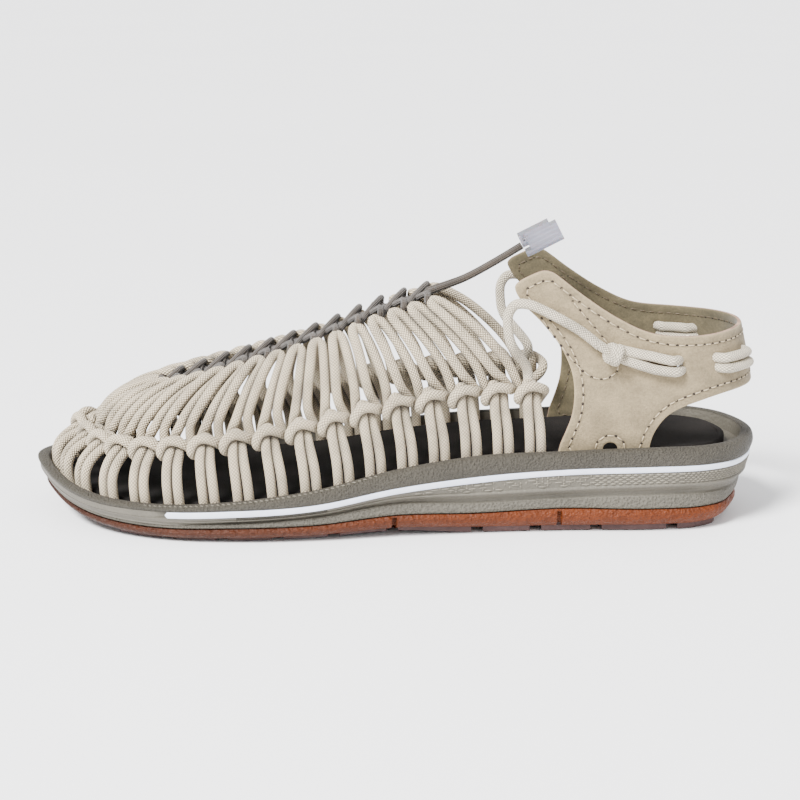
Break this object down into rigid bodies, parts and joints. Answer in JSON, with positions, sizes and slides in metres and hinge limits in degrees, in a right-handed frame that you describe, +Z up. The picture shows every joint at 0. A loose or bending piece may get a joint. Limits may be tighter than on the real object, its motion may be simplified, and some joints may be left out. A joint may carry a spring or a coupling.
{
  "type": "woven sandal",
  "caption": "Left woven cord sandal with a leather heel strap, an elastic lacing with a clear cord lock and a layered rubber sole.",
  "frame": {"origin": "middle of the bounding box on the floor plane", "axes": "+X to the toe, +Y to the wearer's left (outer side of this left shoe), +Z up"},
  "size_m": [0.2905, 0.1052, 0.1181],
  "materials": {
    "gum_rubber": "orange gum rubber, pebbled satin side, darker lugs",
    "midsole_foam": "taupe moulded foam, satin, fine grain and tick texture",
    "stripe_white": "raised white bead, semi gloss",
    "insole_fabric": "black brushed footbed lining",
    "cord_cream": "braided round polyester cord, fine herringbone, low sheen",
    "leather_beige": "beige microsuede with one row of taupe stitches, raw edges, olive lining",
    "elastic_taupe": "grey taupe elastic cord",
    "lock_clear": "milky clear plastic"
  },
  "bodies": {
    "root": {"outsole": "gum_rubber", "midsole": "midsole_foam", "side_stripe": "stripe_white", "insole": "insole_fabric", "woven_upper": "cord_cream", "heel_strap": "leather_beige", "elastic_lacing": "elastic_taupe", "elastic_end_medial": "elastic_taupe", "elastic_end_lateral": "elastic_taupe", "cord_lock": "lock_clear", "draw_cord_heel": "cord_cream", "draw_cord_outer_medial": "cord_cream", "draw_cord_inner_medial": "cord_cream", "draw_cord_front_medial": "cord_cream", "draw_cord_knot_medial": "cord_cream", "draw_cord_end_medial": "cord_cream", "draw_cord_outer_lateral": "cord_cream", "draw_cord_inner_lateral": "cord_cream", "draw_cord_front_lateral": "cord_cream", "draw_cord_knot_lateral": "cord_cream", "draw_cord_end_lateral": "cord_cream"}
  },
  "joints": []
}
